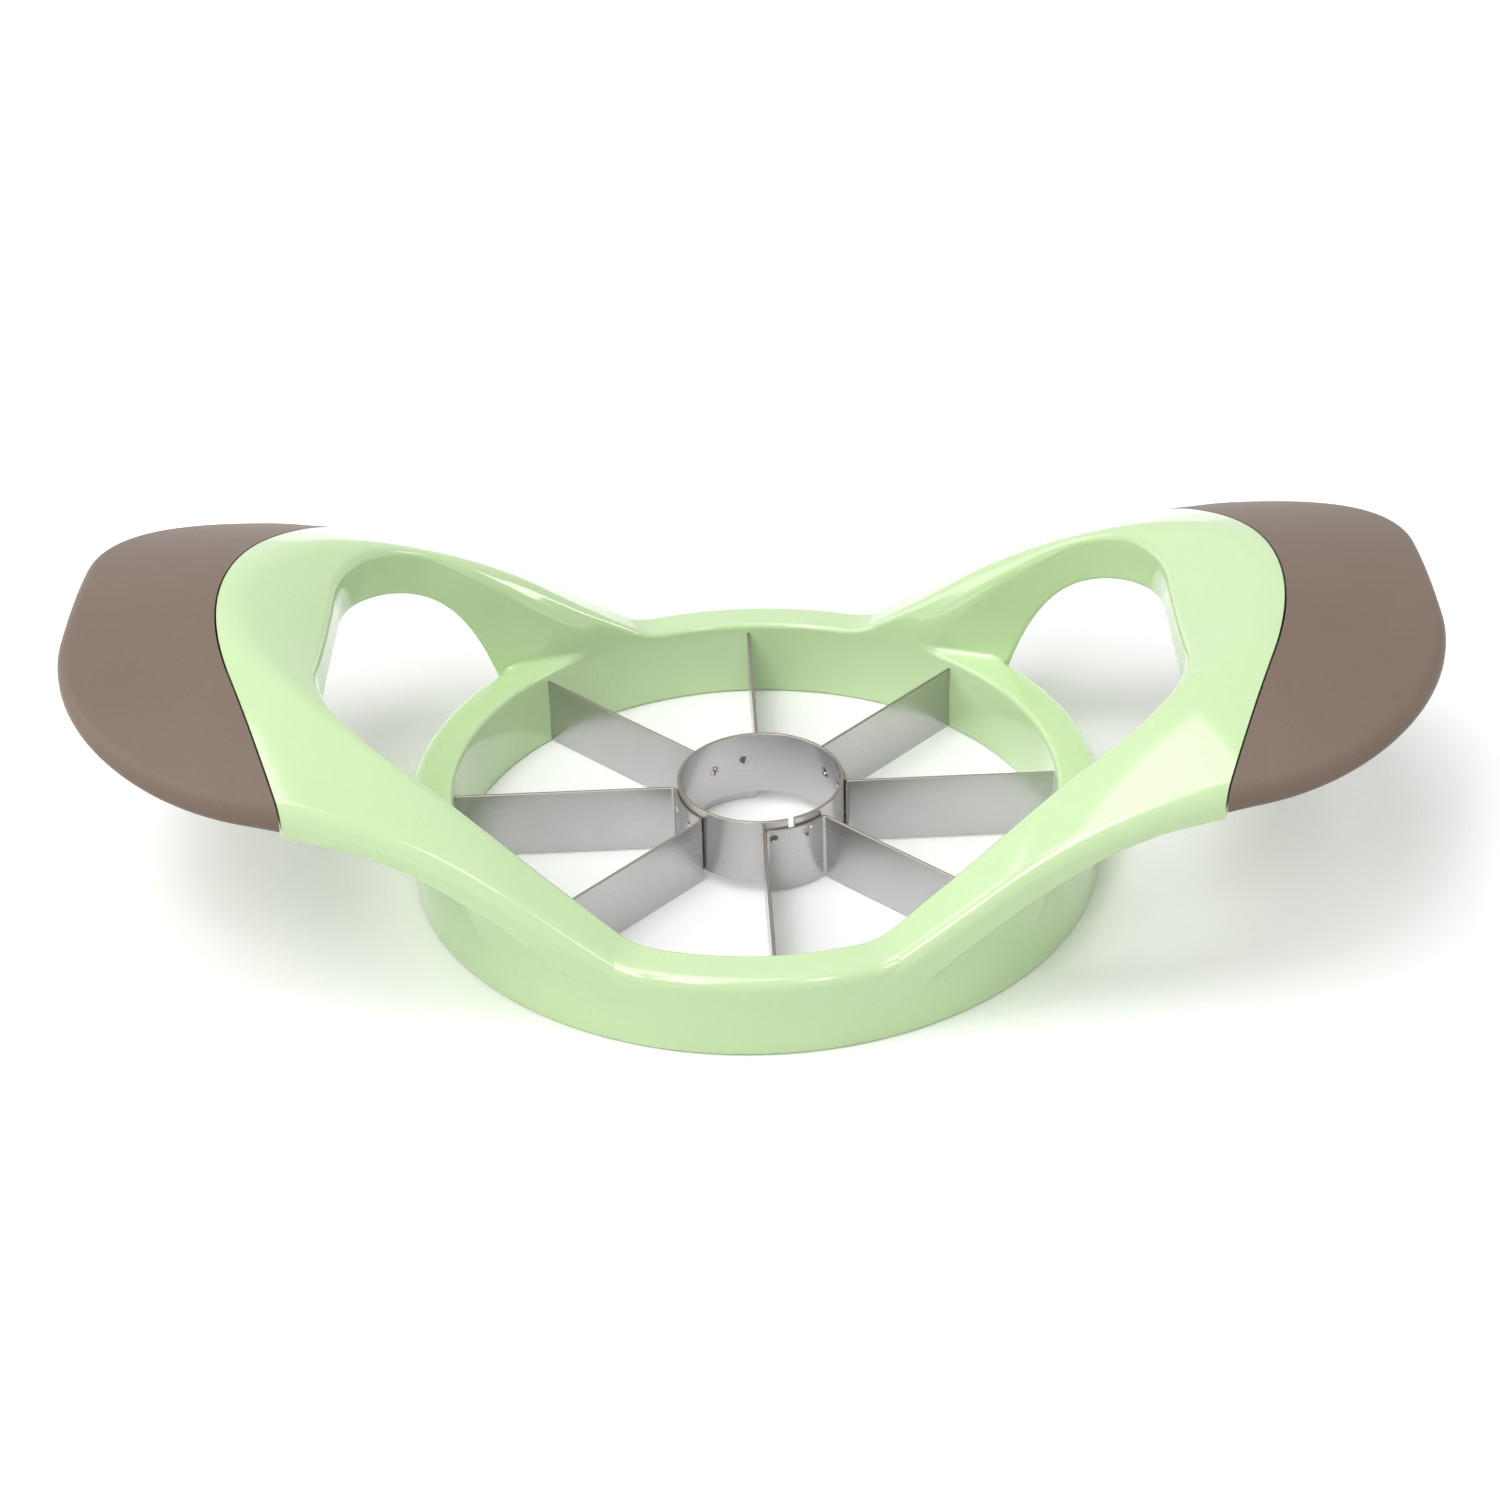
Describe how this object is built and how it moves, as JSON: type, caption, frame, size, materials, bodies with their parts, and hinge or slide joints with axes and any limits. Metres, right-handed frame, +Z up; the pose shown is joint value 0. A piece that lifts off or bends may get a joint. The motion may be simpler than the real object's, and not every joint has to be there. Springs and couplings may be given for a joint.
{
  "type": "apple slicer and wedger",
  "caption": "Two-handed kitchen press with a ring of steel blades and a core tube; raised loop handles with soft ends push it down over an apple.",
  "frame": {"origin": "middle of the ring's foot, on the surface that the press stands on", "axes": "+Z up, X along the two handles, Y across them"},
  "size_m": [0.1968, 0.104, 0.0467],
  "materials": {
    "green_plastic": "glossy moulded plastic",
    "soft_grip": "matt soft-touch elastomer",
    "blade_steel": "satin rolled stainless strip"
  },
  "bodies": {
    "root": {"frame": "green_plastic", "grip_right": "soft_grip", "grip_left": "soft_grip", "core_tube": "blade_steel", "blade_strip_1": "blade_steel", "blade_strip_2": "blade_steel", "blade_strip_3": "blade_steel", "blade_strip_4": "blade_steel"}
  },
  "joints": []
}
